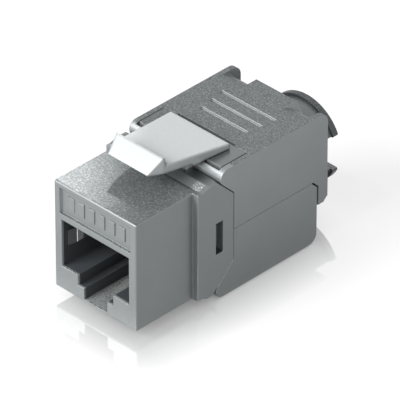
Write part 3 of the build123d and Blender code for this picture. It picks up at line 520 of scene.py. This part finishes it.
def pads(name, material, middle_mm, size_mm, turn_degrees, count=1, pitch_mm=0.0, draft=0.9):
    """A row of drafted pads: size is across, along and up, seen from the side that they face."""
    across, along, rise_mm = size_mm
    grow(name, pad_tree, {
        "Count": count,
        "Pitch": pitch_mm * MM,
        "Middle": [v * MM for v in middle_mm],
        "Turn": [math.radians(v) for v in turn_degrees],
        "Width": across * MM,
        "Height": along * MM,
        "Rise": rise_mm * MM,
        "Draft": draft,
    }, material, "housing")


# Places and sizes are in millimetres, and each pad is sunk a little into its seat
SUNK = 0.02
RECESS_FLOOR_Y = -18.6
RECESS_MIDDLE_Z = 14.85
pads("label_bars", case_casting, (0.0, RECESS_FLOOR_Y + SUNK, RECESS_MIDDLE_Z),
     (1.1, 2.1, 0.16), (90, 0, 0), count=6, pitch_mm=1.8, draft=0.92)

CREST_Y = -16.25
CREST_Z = 8.85
SPRING_FACE_X = 5.49
for side, sign in (("left", -1), ("right", 1)):
    pads(f"spring_crest_{side}", crest_steel_highlight,
         (sign * SPRING_FACE_X, CREST_Y, CREST_Z), (2.0, 1.1, 0.08), (0, -90 * sign, 0))


# %% Printed pads
def printed(name, hex_colour):
    """Pad-printing ink: a thin, slightly uneven coat."""
    material, tree, shader = new_material("printed ink, " + name, roughness=0.5)
    ink = tint(tree, hex_colour, "ffffff", noise(tree, 0.3), 0.15)
    tree.links.new(ink, shader.inputs["Base Color"])
    return material


MANAGER_TOP_Z = 15.6
MANAGER_UNDERSIDE_Z = 3.45
PADS_Y = 7.1
PAD_SIZE = (1.9, 1.5, 0.06)
WAYS_X = (-4.95, -1.65, 1.65, 4.95)
FULL_INKS = {"orange": "d9742a", "green": "3d8f4a", "blue": "2f62a8", "brown": "7a4a2c"}
PALE_INKS = {"orange": "efc39a", "green": "a9d3ae", "blue": "a3bede", "brown": "c8aa92"}
for side, shade, inks, z, turn in (
    ("top", "", FULL_INKS, MANAGER_TOP_Z - SUNK, 0),
    ("under", "pale ", PALE_INKS, MANAGER_UNDERSIDE_Z + SUNK, 180),
):
    for x, (name, colour) in zip(WAYS_X, inks.items()):
        pads(f"wire_pad_{side}_{name}", printed(shade + name, colour),
             (x, PADS_Y, z), PAD_SIZE, (turn, 0, 0))

# %% [markdown]
# ## The latch's return spring
# The leaf spring behind the latch's leg is folded flat when the latch is pressed. A CAD
# solid can't be folded; here a copy of its mesh, with a mesh of its own, takes its place
# on the housing.

# %% Leaf spring
leaf = bpy.data.objects.new("latch_spring_leaf", nodes["latch_spring"].data.copy())
bpy.context.scene.collection.objects.link(leaf)
leaf.data.materials.clear()
leaf.data.materials.append(rolled_steel)
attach(leaf, "housing")
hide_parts("latch_spring")
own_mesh(leaf)

# %% [markdown]
# ## The floor and the light
# The picture looks as if taken on white acrylic in a light tent. The jack has a soft
# shadow all round, and a mirror image that is clear beside it and fades within a few
# millimetres.
#
# The floor is a translucent white sheet: part of its light comes back from the lamps,
# and part comes up through it from below, which the jack holds back where it stands
# close. An ambient occlusion node measures that. The sheet's gloss falls off with the
# distance from the jack's footprint. The world is white to the camera and to
# reflections, but dimmer as a lamp, so that the case keeps its dark sides.
#
# A large softbox from the front left is the key, a weak one from the right is the fill,
# and a snoot from behind makes the small bright pool on the nose's left front corner.

# %% Floor
FOOTPRINT = (8.15 * MM, 19.0 * MM, 0.0)
FLOOR_HALF_SIDE = 1.5
FLOOR_DROP_MM = 0.15
SHADOW_REACH_MM = 16.0
SHADOW_DEPTH = 0.35
GLOW = 0.8
MIRROR_REACH_MM = 6.8
MIRROR_BESIDE_JACK = 0.39

floor_mesh = bpy.data.meshes.new("floor")
floor_edit = bmesh.new()
bmesh.ops.create_grid(floor_edit, x_segments=1, y_segments=1, size=FLOOR_HALF_SIDE)
floor_edit.to_mesh(floor_mesh)
floor_edit.free()
floor = bpy.data.objects.new("floor", floor_mesh)
floor.location.z = -FLOOR_DROP_MM * MM
bpy.context.scene.collection.objects.link(floor)

acrylic, acrylic_tree, acrylic_shader = new_material("white acrylic sheet", roughness=0.4)
acrylic_shader.inputs["Base Color"].default_value = linear("808080")
acrylic_shader.inputs["Specular IOR Level"].default_value = 0.0
acrylic_shader.inputs["Emission Color"].default_value = (1, 1, 1, 1)
rays = add_node(acrylic_tree, "ShaderNodeLightPath").outputs
seen = math_node(acrylic_tree, "MAXIMUM", rays["Is Camera Ray"], rays["Is Glossy Ray"])
open_sky = add_node(
    acrylic_tree, "ShaderNodeAmbientOcclusion", {"Distance": SHADOW_REACH_MM * MM}, samples=24
)
glow = math_node(acrylic_tree, "POWER", open_sky.outputs["AO"], SHADOW_DEPTH)
glow = math_node(acrylic_tree, "MULTIPLY", math_node(acrylic_tree, "MULTIPLY", seen, glow), GLOW)
acrylic_tree.links.new(glow, acrylic_shader.inputs["Emission Strength"])

# how far a point of the floor lies outside the jack's footprint
floor_place = add_node(acrylic_tree, "ShaderNodeTexCoord").outputs["Object"]
outside = vector_node(acrylic_tree, "ABSOLUTE", floor_place)[0]
outside = vector_node(acrylic_tree, "SUBTRACT", outside, FOOTPRINT)[0]
outside = vector_node(acrylic_tree, "MAXIMUM", outside, (0, 0, 0))[0]
away = vector_node(acrylic_tree, "LENGTH", outside)["Value"]
gloss = rise(acrylic_tree, away, 0.0, MIRROR_REACH_MM * MM, MIRROR_BESIDE_JACK, 0.0)
mirror = add_node(acrylic_tree, "ShaderNodeBsdfGlossy", {"Color": (1, 1, 1, 1), "Roughness": 0.05})
sheet = add_node(acrylic_tree, "ShaderNodeMixShader", {
    0: gloss, 1: acrylic_shader.outputs[0], 2: mirror.outputs[0],
})
acrylic_output = acrylic_tree.nodes["Material Output"]
acrylic_tree.links.new(sheet.outputs[0], acrylic_output.inputs["Surface"])
floor_mesh.materials.append(acrylic)

# %% World
WORLD_AS_LAMP = 0.30
WORLD_AS_SEEN = 1.0

world = bpy.data.worlds.new("studio")
bpy.context.scene.world = world
world.use_nodes = True
world_tree = world.node_tree
world_tree.nodes.clear()
rays = add_node(world_tree, "ShaderNodeLightPath").outputs
seen = math_node(world_tree, "MAXIMUM", rays["Is Camera Ray"], rays["Is Glossy Ray"])
seen = math_node(world_tree, "MAXIMUM", seen, rays["Is Transmission Ray"])
level = rise(world_tree, seen, 0.0, 1.0, WORLD_AS_LAMP, WORLD_AS_SEEN)
backdrop = add_node(world_tree, "ShaderNodeBackground", {"Color": (1, 1, 1, 1), "Strength": level})
add_node(world_tree, "ShaderNodeOutputWorld", {"Surface": backdrop.outputs[0]})


# %% Lamps
def hang(data, place_mm, aim_mm):
    """Put a lamp in its place and point it at a place on the jack."""
    lamp = bpy.data.objects.new(data.name, data)
    lamp.location = Vector(place_mm) * MM
    toward = lamp.location - Vector(aim_mm) * MM
    lamp.rotation_euler = toward.to_track_quat("Z", "Y").to_euler()
    bpy.context.scene.collection.objects.link(lamp)


def softbox(name, place_mm, aim_mm, size_mm, power):
    """A square area lamp."""
    data = bpy.data.lights.new(name, "AREA")
    data.shape = "SQUARE"
    data.size = size_mm * MM
    data.energy = power
    hang(data, place_mm, aim_mm)


def snoot(name, place_mm, aim_mm, spread_mm, size_mm, power):
    """A spot lamp whose soft pool of light has a given width where it lands."""
    data = bpy.data.lights.new(name, "SPOT")
    distance_mm = (Vector(place_mm) - Vector(aim_mm)).length
    data.spot_size = 2 * math.atan(spread_mm / 2 / distance_mm)
    data.spot_blend = 1.0
    data.shadow_soft_size = size_mm / 2 * MM
    data.energy = power
    hang(data, place_mm, aim_mm)


JACK_MIDDLE = (0, 0, 10)
NOSE_CORNER = (-9.2, -19.3, 17.5)
softbox("key", (-110, -390, 270), JACK_MIDDLE, size_mm=320, power=4.6)
softbox("fill", (330, -180, 150), JACK_MIDDLE, size_mm=300, power=0.6)
snoot("snoot", (-92, 70, 103), NOSE_CORNER, spread_mm=12.5, size_mm=17, power=2.4)
